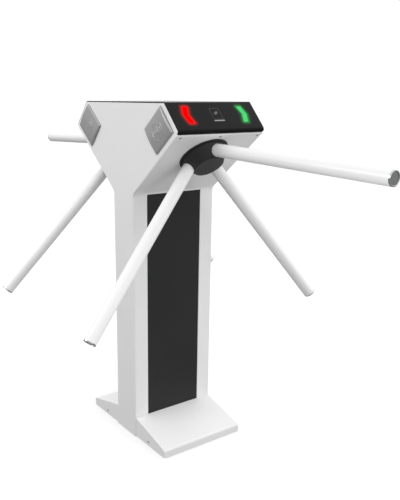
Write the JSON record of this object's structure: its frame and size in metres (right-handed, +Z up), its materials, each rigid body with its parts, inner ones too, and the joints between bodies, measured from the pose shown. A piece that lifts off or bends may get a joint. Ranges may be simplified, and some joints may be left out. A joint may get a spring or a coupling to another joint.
{
  "type": "visitor counter turnstile",
  "caption": "Free-standing double tripod turnstile: Y-shaped white cabinet on a column, dark top cover with stop and go chevrons, and a hub with angled arms on each side.",
  "frame": {"origin": "on the floor, at the centre of the cable hole in the base plate, under the middle of the column", "axes": "+Z up; +X into the right-hand passage, across both passages; -Y faces the end with the card readers, so visitors walk along Y"},
  "size_m": [1.5626, 0.8066, 1],
  "materials": {
    "white_paint": "light grey-white textured powder coat, satin",
    "arm_white": "smooth white powder coat, semi-gloss",
    "cover_black": "black powder coat, satin",
    "panel_charcoal": "charcoal powder coat, satin",
    "hub_black": "cast hub, black powder coat",
    "disc_black": "matt black plastic",
    "reader_grey": "matt grey metallic",
    "cap_grey": "grey plastic",
    "stop_red": "lit red lens",
    "go_green": "lit green lens",
    "sign_grey": "raised grey print",
    "zinc_steel": "zinc-plated steel",
    "bright_steel": "ground steel",
    "case_steel": "folded steel case",
    "board_green": "circuit board",
    "motor_black": "black motor and sensor cases"
  },
  "bodies": {
    "cabinet": {"base_plate": "zinc_steel", "frame_front": "zinc_steel", "frame_rear": "zinc_steel", "frame_braces": "zinc_steel", "end_plate_front": "white_paint", "end_plate_rear": "white_paint", "skin_right": "white_paint", "skin_left": "white_paint", "top_cover": "cover_black", "cover_screws": "bright_steel", "panel_right": "panel_charcoal", "panel_left": "panel_charcoal", "foot_right": "white_paint", "foot_left": "white_paint", "foot_screws": "bright_steel", "reader_right": "reader_grey", "reader_left": "reader_grey", "stop_lens_right": "stop_red", "stop_lens_left": "stop_red", "go_lens_right": "go_green", "go_lens_left": "go_green", "sign_right": "sign_grey", "sign_left": "sign_grey", "indicator_boards": "board_green", "control_board": "board_green", "power_supply": "case_steel", "bezel_right": "hub_black", "bezel_left": "hub_black", "drive_frame_right": "zinc_steel", "drive_frame_left": "zinc_steel", "bearing_right": "bright_steel", "bearing_left": "bright_steel", "gearmotor_right": "motor_black", "gearmotor_left": "motor_black", "solenoid_right": "motor_black", "solenoid_left": "motor_black", "sensor_right": "motor_black", "sensor_left": "motor_black"},
    "rotor_right": {"hub_right": "hub_black", "hub_disc_right": "disc_black", "shaft_right": "bright_steel", "index_wheel_right": "bright_steel", "arm_top_right": "arm_white", "arm_front_right": "arm_white", "arm_rear_right": "arm_white", "arm_caps_right": "cap_grey"},
    "pawl_right": {"pawl_right": "bright_steel"},
    "plunger_right": {"plunger_right": "bright_steel"},
    "rotor_left": {"hub_left": "hub_black", "hub_disc_left": "disc_black", "shaft_left": "bright_steel", "index_wheel_left": "bright_steel", "arm_top_left": "arm_white", "arm_front_left": "arm_white", "arm_rear_left": "arm_white", "arm_caps_left": "cap_grey"},
    "pawl_left": {"pawl_left": "bright_steel"},
    "plunger_left": {"plunger_left": "bright_steel"}
  },
  "joints": [
    {"name": "rotor_right_turn", "type": "hinge", "parent": "cabinet", "child": "rotor_right", "pos_m": [0.17915, -0.0066, 0.88152], "axis": [0.6346, 0, -0.7729], "continuous": true},
    {"name": "pawl_right_lock", "type": "hinge", "parent": "cabinet", "child": "pawl_right", "pos_m": [0.10863, -0.0726, 0.87601], "axis": [-0.6346, 0, 0.7729], "range_deg": [0, 7.3], "stiffness_Nm_per_rad": 0.5, "springref_deg": -11.46},
    {"name": "plunger_right_push", "type": "slide", "parent": "cabinet", "child": "plunger_right", "axis": [0, 1, 0], "range_m": [0, 0.01]},
    {"name": "rotor_left_turn", "type": "hinge", "parent": "cabinet", "child": "rotor_left", "pos_m": [-0.17915, -0.0066, 0.88152], "axis": [-0.6346, 0, -0.7729], "continuous": true},
    {"name": "pawl_left_lock", "type": "hinge", "parent": "cabinet", "child": "pawl_left", "pos_m": [-0.10863, -0.0726, 0.87601], "axis": [-0.6346, 0, -0.7729], "range_deg": [0, 7.3], "stiffness_Nm_per_rad": 0.5, "springref_deg": -11.46},
    {"name": "plunger_left_push", "type": "slide", "parent": "cabinet", "child": "plunger_left", "axis": [0, 1, 0], "range_m": [0, 0.01]}
  ],
  "couplings": [
    {"joint": "plunger_right_push", "follows": "pawl_right_lock", "m_per_rad": 0.078},
    {"joint": "plunger_left_push", "follows": "pawl_left_lock", "m_per_rad": 0.078}
  ]
}
